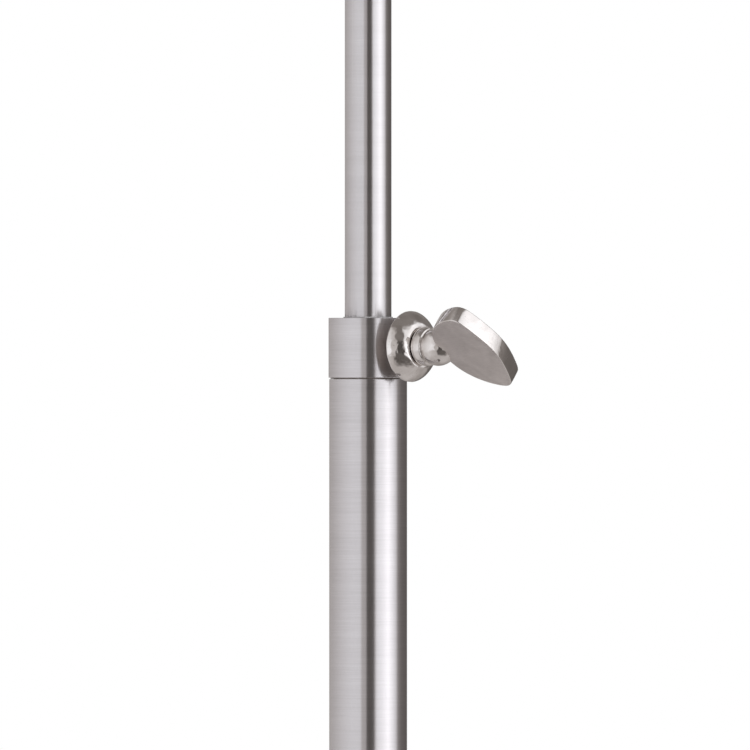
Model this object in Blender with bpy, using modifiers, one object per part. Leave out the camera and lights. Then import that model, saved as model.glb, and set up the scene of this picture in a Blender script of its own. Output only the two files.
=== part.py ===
"""Telescoping flag pole stand: weighted round base, lower tube, clamp collar, sliding mast and finial.

Frame: metres, +Z up, origin on the floor under the centre of the base, thumb screw along +X.
"""

import math

import bmesh
import bpy
from mathutils import Matrix

MM = 0.001

# Clearances between neighbouring pieces
SEAT_GAP = 0.3 * MM
BORE_PAST_THREAD = 2.0 * MM
RUNNING_GAP = 0.15 * MM
GUIDE_GAP = 0.2 * MM

# Weighted base
BASE_RADIUS = 160.0 * MM
COVER_THICKNESS = 1.2 * MM
COVER_FLOOR_GAP = 1.2 * MM
COVER_SKIRT_HEIGHT = 11.0 * MM
COVER_SHOULDER_RADIUS = 11.0 * MM
COVER_SHOULDER_RISE = 9.0 * MM
COVER_DOME_RISE = 7.5 * MM
HUB_RADIUS = 40.0 * MM
PAD_THICKNESS = 3.0 * MM
PAD_INSET = 8.0 * MM
PAD_HOLE_RADIUS = 24.0 * MM
BALLAST_SIDE_GAP = 5.0 * MM
BALLAST_TOP_GAP = 0.6 * MM
BALLAST_EDGE_DROP = 7.0 * MM

# Bolt that pulls the tube down on to the base
BOLT_RADIUS = 5.0 * MM
BOLT_HEAD_ACROSS_FLATS = 17.0 * MM
BOLT_HEAD_HEIGHT = 6.4 * MM
BOLT_FLOOR_CLEARANCE = 2.6 * MM
BOLT_GRIP_IN_PLUG = 28.0 * MM
WASHER_RADIUS = 10.0 * MM
WASHER_THICKNESS = 2.0 * MM
LOCK_WASHER_RADIUS = 9.0 * MM
LOCK_WASHER_THICKNESS = 2.2 * MM
LOCK_WASHER_SLIT = 1.6 * MM
COUNTERBORE_MARGIN = 3.0 * MM

# Foot of the lower tube
PLUG_HEIGHT = 40.0 * MM
ESCUTCHEON_RADIUS = 33.0 * MM
ESCUTCHEON_HEIGHT = 17.0 * MM
ESCUTCHEON_FOOT_EDGE = 2.5 * MM
ESCUTCHEON_TOP_WALL = 3.4 * MM
ESCUTCHEON_NECK_HEIGHT = 6.0 * MM
SET_SCREW_RADIUS = 2.0 * MM
SET_SCREW_LENGTH = 4.2 * MM
SET_SCREW_HEIGHT = 12.0 * MM

# Lower tube and clamp collar
LOWER_TUBE_RADIUS = 15.875 * MM
LOWER_TUBE_WALL = 1.5 * MM
LOWER_TUBE_LENGTH = 1050.0 * MM
COLLAR_STEP = 0.275 * MM
COLLAR_HEIGHT = 24.4 * MM
COLLAR_CHAMFER = 0.3 * MM
SHADOW_GAP = 0.55 * MM
SPIGOT_LENGTH = 22.0 * MM
SHOULDER_INSET = 0.5 * MM
LINER_WALL = 1.0 * MM
LINER_NOSE_WALL = 0.43 * MM
LINER_NOSE_DEPTH = 3.0 * MM
LINER_LIP = 0.45 * MM

# Mast
UPPER_TUBE_RADIUS = 9.525 * MM
UPPER_TUBE_WALL = 1.2 * MM
UPPER_TUBE_LENGTH = 1000.0 * MM
MAST_EXPOSED = 270.0 * MM
BUSH_HEIGHT = 30.0 * MM
PLUG_FLANGE_HEIGHT = 4.0 * MM
PLUG_FLANGE_INSET = 1.6 * MM
PIN_RADIUS = 2.0 * MM
PIN_OVERHANG = 1.8 * MM
PLUG_PAST_PIN = 6.0 * MM
TOP_PLUG_FLANGE = 2.0 * MM
TOP_PLUG_DEPTH = 20.0 * MM

# Finial
FINIAL_STUD_RADIUS = 4.0 * MM
FINIAL_STUD_GRIP = 12.0 * MM
FINIAL_STUD_IN_BALL = 16.0 * MM
FINIAL_WASHER_RADIUS = 11.0 * MM
FINIAL_WASHER_THICKNESS = 1.2 * MM
FINIAL_FOOT_RADIUS = 13.0 * MM
FINIAL_WAIST_RADIUS = 6.6 * MM
FINIAL_BEAD_RADIUS = 9.0 * MM
FINIAL_BEAD_HEIGHT = 5.2 * MM
FINIAL_FILLET = 0.6 * MM
FINIAL_NECK_HEIGHT = 16.0 * MM
FINIAL_BALL_RADIUS = 21.0 * MM
FINIAL_SEAT_RADIUS = 7.4 * MM

# Thumb screw: distances along its axis are taken from the pole's axis
SCREW_DROP = 11.7 * MM
SCREW_RADIUS = 4.0 * MM
SCREW_NOSE_RADIUS = 1.5 * MM
SCREW_NOSE_LENGTH = 1.5 * MM
CLAMP_PAD_INSET = 0.5 * MM
CLAMP_PAD_LENGTH = 2.5 * MM
SHANK_EXPOSED = 7.3 * MM
SCREW_GRIP_IN_HANDLE = 7.5 * MM
FLANGE_RADIUS = 14.45 * MM
FLANGE_EDGE = 0.6 * MM
FLANGE_BACK_CHAMFER = 0.25 * MM
NECK_RADIUS = 6.7 * MM
NECK_LENGTH = 0.4 * MM
NECK_FILLET = 0.4 * MM
# Front of the flange from its rim inwards: slope of its normal from the screw's axis in
# degrees, and the length of that stretch
DOME_SLOPES = ((61.0, 1.6 * MM), (54.0, 1.7 * MM), (48.0, 1.9 * MM), (42.0, 1.8 * MM),
               (33.0, 1.2 * MM), (19.5, 0.7 * MM))
BEAD_RADIUS = 8.05 * MM
BEAD_LENGTH = 4.7 * MM
BEAD_FULLNESS = 0.7
GROOVE_RADIUS = 7.2 * MM
GROOVE_LENGTH = 0.4 * MM
BALL_RADIUS = 7.9 * MM
PADDLE_HALF_LENGTH = 15.0 * MM
PADDLE_HALF_WIDTH = 21.65 * MM
PADDLE_THICKNESS = 7.25 * MM
PADDLE_REACH = 18.75 * MM
PADDLE_SQUARENESS = 1.89
PADDLE_HORN = 5.05 * MM
PADDLE_HORN_POWER = 4
PADDLE_EDGE = 0.8 * MM
PADDLE_TURN = math.radians(51.9)

# Facets
BASE_SEGMENTS = 56
TUBE_SEGMENTS = 40
SMALL_SEGMENTS = 24

# Heights worked out from the sizes above
BALLAST_BOTTOM = PAD_THICKNESS + SEAT_GAP
SHOULDER_TOP = COVER_SKIRT_HEIGHT + COVER_SHOULDER_RISE
HUB_TOP = SHOULDER_TOP + COVER_DOME_RISE
TUBE_FOOT = HUB_TOP + SEAT_GAP
LOWER_TUBE_BORE = LOWER_TUBE_RADIUS - LOWER_TUBE_WALL
LOWER_TUBE_TOP = TUBE_FOOT + LOWER_TUBE_LENGTH
COLLAR_RADIUS = LOWER_TUBE_RADIUS + COLLAR_STEP
COLLAR_BOTTOM = LOWER_TUBE_TOP + SHADOW_GAP
COLLAR_TOP = COLLAR_BOTTOM + COLLAR_HEIGHT
SPIGOT_RADIUS = LOWER_TUBE_BORE - SEAT_GAP
SPIGOT_BOTTOM = LOWER_TUBE_TOP - SPIGOT_LENGTH
LINER_BORE = UPPER_TUBE_RADIUS + RUNNING_GAP
LINER_RADIUS = LINER_BORE + LINER_WALL
LINER_NOSE_RADIUS = LINER_BORE + LINER_NOSE_WALL
LINER_STEP = COLLAR_TOP - LINER_NOSE_DEPTH
UPPER_TUBE_BORE = UPPER_TUBE_RADIUS - UPPER_TUBE_WALL
MAST_TOP = COLLAR_TOP + MAST_EXPOSED
MAST_BOTTOM = MAST_TOP - UPPER_TUBE_LENGTH
BUSH_BOTTOM = MAST_BOTTOM + SEAT_GAP
PIN_HEIGHT = BUSH_BOTTOM + BUSH_HEIGHT + SEAT_GAP + PIN_RADIUS
SCREW_HEIGHT = COLLAR_TOP - SCREW_DROP
CLAMP_PAD_RADIUS = SCREW_RADIUS - CLAMP_PAD_INSET
CLAMP_PAD_START = UPPER_TUBE_RADIUS + SEAT_GAP
CLAMP_PAD_END = CLAMP_PAD_START + CLAMP_PAD_LENGTH
FLANGE_BACK = COLLAR_RADIUS + SHANK_EXPOSED
FLANGE_FRONT = FLANGE_BACK + FLANGE_EDGE
DOME_LINE = [(FLANGE_RADIUS, FLANGE_FRONT)]
for slope, length in DOME_SLOPES:
    DOME_LINE.append((DOME_LINE[-1][0] - length * math.cos(math.radians(slope)),
                      DOME_LINE[-1][1] + length * math.sin(math.radians(slope))))
NECK_START = DOME_LINE[-1][1]
BEAD_START = NECK_START + NECK_LENGTH
BEAD_END = BEAD_START + BEAD_LENGTH
BALL_CENTRE = BEAD_END + GROOVE_LENGTH + math.sqrt(BALL_RADIUS ** 2 - GROOVE_RADIUS ** 2)
PADDLE_CENTRE = BALL_CENTRE + PADDLE_REACH
FINIAL_WASHER_BOTTOM = MAST_TOP + TOP_PLUG_FLANGE + 2 * SEAT_GAP
FINIAL_FOOT = FINIAL_WASHER_BOTTOM + FINIAL_WASHER_THICKNESS + SEAT_GAP
FINIAL_SEAT = FINIAL_FOOT + FINIAL_NECK_HEIGHT


def clear_scene():
    for old in list(bpy.data.objects):
        bpy.data.objects.remove(old, do_unlink=True)
    for old in list(bpy.data.collections):
        bpy.data.collections.remove(old)


def make_collection(name):
    collection = bpy.data.collections.new(name)
    bpy.context.scene.collection.children.link(collection)
    return collection


clear_scene()
PARTS = make_collection("flag_pole_stand")
CUTTERS = make_collection("cutters")


# ---------------------------------------------------------------- materials

FINISHES = {
    "brushed": ((0.62, 0.60, 0.58), 0.32, 1.0),
    "polished": ((0.74, 0.72, 0.70), 0.10, 1.0),
    "fastener": ((0.50, 0.50, 0.51), 0.40, 1.0),
    "iron": ((0.09, 0.09, 0.09), 0.75, 0.6),
    "nylon": ((0.30, 0.30, 0.31), 0.55, 0.0),
    "acetal": ((0.80, 0.80, 0.77), 0.50, 0.0),
    "rubber": ((0.03, 0.03, 0.03), 0.85, 0.0),
    "brass": ((0.72, 0.52, 0.25), 0.30, 1.0),
}


def make_material(name, finish):
    colour, roughness, metallic = FINISHES[finish]
    material = bpy.data.materials.new(name)
    material.use_nodes = True
    shader = material.node_tree.nodes["Principled BSDF"]
    shader.inputs["Base Color"].default_value = (*colour, 1.0)
    shader.inputs["Roughness"].default_value = roughness
    shader.inputs["Metallic"].default_value = metallic
    return material


# ------------------------------------------------------------ shape helpers

def place(name, mesh, collection=None):
    """Put a mesh or curve in the scene as a named object."""
    piece = bpy.data.objects.new(name, mesh)
    (collection or PARTS).objects.link(piece)
    return piece


def turned(name, profile, segments=TUBE_SEGMENTS, bored=True, collection=None):
    """Turn a profile of (radius, height) points about Z.

    The points run down the outer side. A bored profile then returns up its bore and is closed; a
    solid one starts and ends on the axis.
    """
    mesh = bpy.data.meshes.new(name)
    points = [(radius, 0.0, height) for radius, height in profile]
    edges = [(i, i + 1) for i in range(len(points) - 1)]
    if bored:
        edges.append((len(points) - 1, 0))
    mesh.from_pydata(points, edges, [])
    piece = place(name, mesh, collection)
    screw = piece.modifiers.new("turn", "SCREW")
    screw.steps = segments
    screw.render_steps = segments
    screw.use_merge_vertices = True
    screw.merge_threshold = 0.00001
    return piece


def bake(piece):
    """Replace the piece's mesh by its evaluated one, shaded smooth between sharp edges."""
    bpy.context.view_layer.update()
    graph = bpy.context.evaluated_depsgraph_get()
    mesh = bpy.data.meshes.new_from_object(piece.evaluated_get(graph))
    mesh.name = piece.name
    piece.modifiers.clear()
    piece.data = mesh
    mesh.shade_smooth()
    mesh.set_sharp_from_angle(angle=math.radians(30.0))
    return piece


def cut(piece, cutter):
    """Subtract a cutter, which stays in the scene as a hidden wire shape."""
    cutter.hide_render = True
    cutter.display_type = "WIRE"
    boolean = piece.modifiers.new("cut_" + cutter.name, "BOOLEAN")
    boolean.operation = "DIFFERENCE"
    boolean.solver = "EXACT"
    boolean.object = cutter


def drill(name, radius, length, centre, axis):
    """A cylinder cutter with its middle at centre, lying along X, Y or Z."""
    mesh = bpy.data.meshes.new(name)
    shape = bmesh.new()
    bmesh.ops.create_cone(shape, cap_ends=True, segments=SMALL_SEGMENTS, radius1=radius,
                          radius2=radius, depth=length)
    shape.to_mesh(mesh)
    shape.free()
    cutter = place(name, mesh, CUTTERS)
    turns = {"X": (0.0, math.pi / 2, 0.0), "Y": (math.pi / 2, 0.0, 0.0), "Z": (0.0, 0.0, 0.0)}
    cutter.rotation_euler = turns[axis]
    cutter.location = centre
    return cutter


def block(name, size, centre, collection):
    mesh = bpy.data.meshes.new(name)
    shape = bmesh.new()
    bmesh.ops.create_cube(shape, size=1.0, matrix=Matrix.Diagonal((*size, 1.0)))
    shape.to_mesh(mesh)
    shape.free()
    piece = place(name, mesh, collection)
    piece.location = centre
    return piece


def prism(name, across_flats, height, collection):
    """A hexagonal bar with its middle at the origin, along Z."""
    mesh = bpy.data.meshes.new(name)
    shape = bmesh.new()
    corner = across_flats / math.sqrt(3.0)
    bmesh.ops.create_cone(shape, cap_ends=True, segments=6, radius1=corner, radius2=corner,
                          depth=height)
    shape.to_mesh(mesh)
    shape.free()
    return place(name, mesh, collection)


def finish(piece, finish_name, parent=None):
    """Bake a part, give it its material and hang it on its joint's empty."""
    bake(piece)
    piece.data.materials.clear()
    piece.data.materials.append(make_material(piece.name, finish_name))
    if parent is not None:
        piece.parent = parent
    return piece


def joint_empty(name, location, rotation=(0.0, 0.0, 0.0)):
    empty = bpy.data.objects.new(name, None)
    empty.location = location
    empty.rotation_euler = rotation
    empty.empty_display_size = 0.02
    PARTS.objects.link(empty)
    return empty


def arc(centre, radius, start, end, steps):
    """Points on a circle in the profile's plane; angles in degrees from +radius towards +height."""
    points = []
    for i in range(steps + 1):
        angle = math.radians(start + (end - start) * i / steps)
        points.append((centre[0] + radius * math.cos(angle), centre[1] + radius * math.sin(angle)))
    return points


# --------------------------------------------------------------------- base

def dome_height(radius):
    """Height of the cover's outer surface between the flat hub and the shoulder."""
    span = BASE_RADIUS - COVER_SHOULDER_RADIUS - HUB_RADIUS
    share = max(0.0, (radius - HUB_RADIUS) / span)
    return HUB_TOP - COVER_DOME_RISE * share ** 2


def dome_profile(first, last, steps, drop=0.0):
    points = []
    for i in range(steps + 1):
        radius = first + (last - first) * i / steps
        points.append((radius, dome_height(radius) - drop))
    return points


def build_floor_pad():
    outer = BASE_RADIUS - PAD_INSET
    profile = [(PAD_HOLE_RADIUS, PAD_THICKNESS), (outer, PAD_THICKNESS), (outer, 0.0),
               (PAD_HOLE_RADIUS, 0.0)]
    finish(turned("floor_pad", profile, BASE_SEGMENTS), "rubber")


def washer_stack():
    """Heights of the bolt head's top, the lock washer and the flat washer under the ballast."""
    head_top = BOLT_FLOOR_CLEARANCE + BOLT_HEAD_HEIGHT
    lock = head_top + SEAT_GAP
    flat = lock + LOCK_WASHER_THICKNESS + SEAT_GAP
    roof = flat + WASHER_THICKNESS + SEAT_GAP
    return head_top, lock, flat, roof


def build_ballast():
    roof = washer_stack()[3]
    counterbore = WASHER_RADIUS + COUNTERBORE_MARGIN
    bore = BOLT_RADIUS + SEAT_GAP
    side = BASE_RADIUS - BALLAST_SIDE_GAP
    drop = COVER_THICKNESS + BALLAST_TOP_GAP
    rim = BASE_RADIUS - COVER_SHOULDER_RADIUS - BALLAST_SIDE_GAP
    profile = [(bore, HUB_TOP - drop)]
    profile += dome_profile(HUB_RADIUS, rim, 3, drop)
    profile += [(side, dome_height(rim) - drop - BALLAST_EDGE_DROP), (side, BALLAST_BOTTOM)]
    profile += [(counterbore, BALLAST_BOTTOM), (counterbore, roof), (bore, roof)]
    finish(turned("ballast", profile, BASE_SEGMENTS), "iron")


def build_base_cover():
    """Spun shell: flat hub, low dome, rounded shoulder and a straight skirt just off the floor."""
    shoulder_start = BASE_RADIUS - COVER_SHOULDER_RADIUS
    profile = [(BOLT_RADIUS + SEAT_GAP, HUB_TOP)]
    profile += dome_profile(HUB_RADIUS, shoulder_start, 3)
    for i in range(1, 4):
        angle = math.pi / 2 * i / 3
        profile.append((shoulder_start + COVER_SHOULDER_RADIUS * math.sin(angle),
                        COVER_SKIRT_HEIGHT + COVER_SHOULDER_RISE * math.cos(angle)))
    profile.append((BASE_RADIUS, COVER_FLOOR_GAP))
    cover = turned("base_cover", profile, BASE_SEGMENTS, bored=False)
    shell = cover.modifiers.new("wall", "SOLIDIFY")
    shell.thickness = COVER_THICKNESS
    shell.offset = -1.0
    shell.use_even_offset = True
    finish(cover, "brushed")


def build_base_bolt():
    head_top = washer_stack()[0]
    tip = TUBE_FOOT + BOLT_GRIP_IN_PLUG
    lead = 1.0 * MM
    overlap = 1.0 * MM
    profile = [(0.0, tip), (BOLT_RADIUS - lead, tip), (BOLT_RADIUS, tip - lead),
               (BOLT_RADIUS, head_top - overlap), (0.0, head_top - overlap)]
    bolt = turned("base_bolt", profile, SMALL_SEGMENTS, bored=False)
    head = prism("base_bolt_head", BOLT_HEAD_ACROSS_FLATS, BOLT_HEAD_HEIGHT, CUTTERS)
    head.location.z = BOLT_FLOOR_CLEARANCE + BOLT_HEAD_HEIGHT / 2
    head.hide_render = True
    head.display_type = "WIRE"
    join = bolt.modifiers.new("head", "BOOLEAN")
    join.operation = "UNION"
    join.solver = "EXACT"
    join.object = head
    finish(bolt, "fastener")


def ring_profile(inner, outer, bottom, top):
    return [(inner, top), (outer, top), (outer, bottom), (inner, bottom)]


def build_washers():
    _, lock, flat, _ = washer_stack()
    bore = BOLT_RADIUS + SEAT_GAP
    flat_profile = ring_profile(bore, WASHER_RADIUS, flat, flat + WASHER_THICKNESS)
    finish(turned("flat_washer", flat_profile, SMALL_SEGMENTS), "fastener")
    lock_profile = ring_profile(bore, LOCK_WASHER_RADIUS, lock, lock + LOCK_WASHER_THICKNESS)
    washer = turned("lock_washer", lock_profile, SMALL_SEGMENTS)
    slit_size = (2 * LOCK_WASHER_RADIUS, LOCK_WASHER_SLIT, 3 * LOCK_WASHER_THICKNESS)
    slit_centre = (LOCK_WASHER_RADIUS, 0.0, lock + LOCK_WASHER_THICKNESS / 2)
    cut(washer, block("lock_washer_slit", slit_size, slit_centre, CUTTERS))
    finish(washer, "fastener")


def build_foot_plug():
    """Solid plug inside the foot of the lower tube, tapped for the base bolt."""
    radius = LOWER_TUBE_BORE - SEAT_GAP
    top = TUBE_FOOT + PLUG_HEIGHT
    bore = BOLT_RADIUS + SEAT_GAP
    bore_top = TUBE_FOOT + BOLT_GRIP_IN_PLUG + BORE_PAST_THREAD
    chamfer = 1.0 * MM
    profile = [(0.0, top), (radius - chamfer, top), (radius, top - chamfer), (radius, TUBE_FOOT),
               (bore, TUBE_FOOT), (bore, bore_top), (0.0, bore_top)]
    finish(turned("foot_plug", profile, bored=False), "fastener")


def build_escutcheon():
    """Turned trim ring that hides the joint between the tube and the base."""
    bore = LOWER_TUBE_RADIUS + SEAT_GAP
    foot = TUBE_FOOT
    top = foot + ESCUTCHEON_HEIGHT
    neck = bore + ESCUTCHEON_TOP_WALL
    sweep = ESCUTCHEON_RADIUS - neck
    edge_top = foot + ESCUTCHEON_FOOT_EDGE
    chamfer = 0.6 * MM
    profile = [(bore, top), (neck - chamfer, top), (neck, top - chamfer)]
    hollow = top - ESCUTCHEON_NECK_HEIGHT - edge_top
    for i in range(7):
        angle = math.pi / 2 * i / 6
        profile.append((neck + sweep * (1.0 - math.cos(angle)),
                        edge_top + hollow * (1.0 - math.sin(angle))))
    profile += [(ESCUTCHEON_RADIUS, foot), (bore, foot)]
    ring = turned("foot_escutcheon", profile)
    screw_height = foot + SET_SCREW_HEIGHT
    hole_centre = (0.0, (bore + ESCUTCHEON_RADIUS) / 2, screw_height)
    cut(ring, drill("set_screw_hole", SET_SCREW_RADIUS + SEAT_GAP, ESCUTCHEON_RADIUS - bore + 6.0 * MM,
                    hole_centre, "Y"))
    finish(ring, "polished")


def build_set_screw():
    """Grub screw through the back of the trim ring, with a hexagon socket."""
    start = LOWER_TUBE_RADIUS + SEAT_GAP
    profile = [(0.0, SET_SCREW_LENGTH), (SET_SCREW_RADIUS, SET_SCREW_LENGTH),
               (SET_SCREW_RADIUS, 0.0), (0.0, 0.0)]
    screw = turned("escutcheon_set_screw", profile, SMALL_SEGMENTS, bored=False)
    socket = prism("set_screw_socket", SET_SCREW_RADIUS, SET_SCREW_LENGTH, CUTTERS)
    placing = Matrix.Translation((0.0, start, TUBE_FOOT + SET_SCREW_HEIGHT))
    placing = placing @ Matrix.Rotation(-math.pi / 2, 4, "X")
    screw.matrix_world = placing
    socket.matrix_world = placing @ Matrix.Translation((0.0, 0.0, SET_SCREW_LENGTH))
    cut(screw, socket)
    finish(screw, "fastener")


# -------------------------------------------------- lower tube and collar

def screw_hole(name, radius):
    """Cutter along the thumb screw's axis, through the +X wall only."""
    length = 2 * COLLAR_RADIUS
    return drill(name, radius, length, (COLLAR_RADIUS, 0.0, SCREW_HEIGHT), "X")


def build_lower_tube():
    profile = ring_profile(LOWER_TUBE_BORE, LOWER_TUBE_RADIUS, TUBE_FOOT, LOWER_TUBE_TOP)
    finish(turned("lower_tube", profile), "brushed")


def build_collar():
    """Collar with a spigot down into the lower tube and a stepped bore for the nylon liner."""
    nose = LINER_NOSE_RADIUS + SEAT_GAP
    bore = LINER_RADIUS + SEAT_GAP
    outer = COLLAR_RADIUS
    shoulder = LOWER_TUBE_RADIUS - SHOULDER_INSET
    chamfer = COLLAR_CHAMFER
    profile = [(nose, COLLAR_TOP), (outer - chamfer, COLLAR_TOP), (outer, COLLAR_TOP - chamfer),
               (outer, COLLAR_BOTTOM + chamfer), (outer - chamfer, COLLAR_BOTTOM),
               (shoulder, COLLAR_BOTTOM), (shoulder, LOWER_TUBE_TOP + SEAT_GAP),
               (SPIGOT_RADIUS, LOWER_TUBE_TOP + SEAT_GAP), (SPIGOT_RADIUS, SPIGOT_BOTTOM),
               (bore, SPIGOT_BOTTOM), (bore, LINER_STEP), (nose, LINER_STEP)]
    collar = turned("collar", profile)
    cut(collar, screw_hole("thumb_screw_hole", SCREW_RADIUS + SEAT_GAP))
    finish(collar, "brushed")


def build_collar_liner():
    """Nylon sleeve that guides the mast; its thin lip stands just above the collar."""
    lip = COLLAR_TOP + LINER_LIP
    step = LINER_STEP - SEAT_GAP
    bottom = SPIGOT_BOTTOM + SEAT_GAP
    profile = [(LINER_BORE, lip), (LINER_NOSE_RADIUS, lip), (LINER_NOSE_RADIUS, step),
               (LINER_RADIUS, step), (LINER_RADIUS, bottom), (LINER_BORE, bottom)]
    liner = turned("collar_liner", profile)
    cut(liner, screw_hole("clamp_pad_hole", CLAMP_PAD_RADIUS + SEAT_GAP))
    finish(liner, "nylon")


# --------------------------------------------------------------------- mast

def build_guide_bush(parent):
    """Nylon bush that keeps the foot of the mast central and stops it pulling out."""
    profile = ring_profile(UPPER_TUBE_RADIUS + SEAT_GAP, LOWER_TUBE_BORE - GUIDE_GAP, BUSH_BOTTOM,
                           BUSH_BOTTOM + BUSH_HEIGHT)
    finish(turned("guide_bush", profile), "nylon", parent)


def build_upper_tube(parent):
    profile = ring_profile(UPPER_TUBE_BORE, UPPER_TUBE_RADIUS, MAST_BOTTOM, MAST_TOP)
    tube = turned("upper_tube", profile)
    cut(tube, drill("guide_pin_hole", PIN_RADIUS + SEAT_GAP, 4 * UPPER_TUBE_RADIUS,
                    (0.0, 0.0, PIN_HEIGHT), "Y"))
    finish(tube, "brushed", parent)


def build_bottom_plug(parent):
    """Plug in the foot of the mast; its flange carries the guide bush."""
    flange = LOWER_TUBE_BORE - PLUG_FLANGE_INSET
    flange_top = MAST_BOTTOM - SEAT_GAP
    flange_bottom = flange_top - PLUG_FLANGE_HEIGHT
    stem = UPPER_TUBE_BORE - SEAT_GAP
    stem_top = PIN_HEIGHT + PIN_RADIUS + PLUG_PAST_PIN
    chamfer = 0.8 * MM
    profile = [(0.0, stem_top), (stem - chamfer, stem_top), (stem, stem_top - chamfer),
               (stem, flange_top), (flange, flange_top), (flange, flange_bottom + chamfer),
               (flange - chamfer, flange_bottom), (0.0, flange_bottom)]
    plug = turned("bottom_plug", profile, bored=False)
    cut(plug, drill("plug_pin_hole", PIN_RADIUS + SEAT_GAP, 4 * UPPER_TUBE_RADIUS,
                    (0.0, 0.0, PIN_HEIGHT), "Y"))
    finish(plug, "acetal", parent)


def build_guide_pin(parent):
    """Cross pin through the tube and its plug; its ends hold the guide bush down."""
    half = UPPER_TUBE_RADIUS + PIN_OVERHANG
    chamfer = 0.4 * MM
    profile = [(0.0, half), (PIN_RADIUS - chamfer, half), (PIN_RADIUS, half - chamfer),
               (PIN_RADIUS, chamfer - half), (PIN_RADIUS - chamfer, -half), (0.0, -half)]
    pin = turned("guide_pin", profile, SMALL_SEGMENTS, bored=False)
    pin.rotation_euler = (math.pi / 2, 0.0, 0.0)
    pin.location = (0.0, 0.0, PIN_HEIGHT)
    finish(pin, "fastener", parent)


def build_top_plug(parent):
    """Tapped plug that closes the head of the mast and takes the finial's stud."""
    bore = FINIAL_STUD_RADIUS + SEAT_GAP
    flange_bottom = MAST_TOP + SEAT_GAP
    flange_top = flange_bottom + TOP_PLUG_FLANGE
    stem = UPPER_TUBE_BORE - SEAT_GAP
    bottom = MAST_TOP - TOP_PLUG_DEPTH
    chamfer = 0.5 * MM
    profile = [(bore, flange_top), (UPPER_TUBE_RADIUS - chamfer, flange_top),
               (UPPER_TUBE_RADIUS, flange_top - chamfer), (UPPER_TUBE_RADIUS, flange_bottom),
               (stem, flange_bottom), (stem, bottom), (bore, bottom)]
    finish(turned("top_plug", profile), "fastener", parent)


# ------------------------------------------------------------------- finial

def build_finial_washer(parent):
    profile = ring_profile(FINIAL_STUD_RADIUS + SEAT_GAP, FINIAL_WASHER_RADIUS,
                           FINIAL_WASHER_BOTTOM, FINIAL_WASHER_BOTTOM + FINIAL_WASHER_THICKNESS)
    finish(turned("finial_washer", profile), "nylon", parent)


def build_finial_neck(parent):
    """Turned neck: flared foot, waist and a rounded bead under the ball."""
    bore = FINIAL_STUD_RADIUS + SEAT_GAP
    edge = 1.8 * MM
    bead_half = FINIAL_BEAD_HEIGHT / 2
    bead_height = FINIAL_SEAT - FINIAL_FILLET - bead_half
    waist_height = bead_height - bead_half - FINIAL_FILLET
    sweep = FINIAL_FOOT_RADIUS - FINIAL_WAIST_RADIUS
    rise = waist_height - FINIAL_FOOT - edge
    profile = [(bore, FINIAL_SEAT), (FINIAL_SEAT_RADIUS, FINIAL_SEAT),
               (FINIAL_SEAT_RADIUS, bead_height + bead_half)]
    swell = FINIAL_BEAD_RADIUS - FINIAL_SEAT_RADIUS
    for i in range(1, 5):
        angle = math.pi * i / 5
        profile.append((FINIAL_SEAT_RADIUS + swell * math.sin(angle),
                        bead_height + bead_half * math.cos(angle)))
    profile.append((FINIAL_SEAT_RADIUS, bead_height - bead_half))
    for i in range(6):
        angle = math.pi / 2 * i / 5
        profile.append((FINIAL_WAIST_RADIUS + sweep * (1.0 - math.cos(angle)),
                        FINIAL_FOOT + edge + rise * (1.0 - math.sin(angle))))
    profile += [(FINIAL_FOOT_RADIUS, FINIAL_FOOT), (bore, FINIAL_FOOT)]
    finish(turned("finial_neck", profile, SMALL_SEGMENTS), "polished", parent)


def build_finial_ball(parent):
    """Solid ball with a flat seat and a blind tapped bore."""
    seat = FINIAL_SEAT + SEAT_GAP
    centre = seat + math.sqrt(FINIAL_BALL_RADIUS ** 2 - FINIAL_SEAT_RADIUS ** 2)
    seat_angle = -math.degrees(math.acos(FINIAL_SEAT_RADIUS / FINIAL_BALL_RADIUS))
    bore = FINIAL_STUD_RADIUS + SEAT_GAP
    bore_top = FINIAL_SEAT + FINIAL_STUD_IN_BALL + BORE_PAST_THREAD
    profile = arc((0.0, centre), FINIAL_BALL_RADIUS, 90.0, seat_angle, 12)
    profile[0] = (0.0, centre + FINIAL_BALL_RADIUS)
    profile += [(bore, seat), (bore, bore_top), (0.0, bore_top)]
    finish(turned("finial_ball", profile, SMALL_SEGMENTS, bored=False), "polished", parent)


def build_finial_stud(parent):
    top = FINIAL_SEAT + FINIAL_STUD_IN_BALL
    bottom = MAST_TOP - FINIAL_STUD_GRIP
    chamfer = 0.7 * MM
    profile = [(0.0, top), (FINIAL_STUD_RADIUS, top), (FINIAL_STUD_RADIUS, bottom + chamfer),
               (FINIAL_STUD_RADIUS - chamfer, bottom), (0.0, bottom)]
    finish(turned("finial_stud", profile, SMALL_SEGMENTS, bored=False), "fastener", parent)


# -------------------------------------------------------------- thumb screw

def build_clamp_pad(parent):
    """Brass pad that presses on the mast; it is captive on the screw's nose and doesn't turn."""
    bore = SCREW_NOSE_RADIUS + SEAT_GAP
    bore_bottom = CLAMP_PAD_END - SCREW_NOSE_LENGTH
    chamfer = 0.3 * MM
    profile = [(0.0, bore_bottom), (bore, bore_bottom), (bore, CLAMP_PAD_END),
               (CLAMP_PAD_RADIUS, CLAMP_PAD_END), (CLAMP_PAD_RADIUS, CLAMP_PAD_START + chamfer),
               (CLAMP_PAD_RADIUS - chamfer, CLAMP_PAD_START), (0.0, CLAMP_PAD_START)]
    finish(turned("clamp_pad", profile, SMALL_SEGMENTS, bored=False), "brass", parent)


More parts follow.
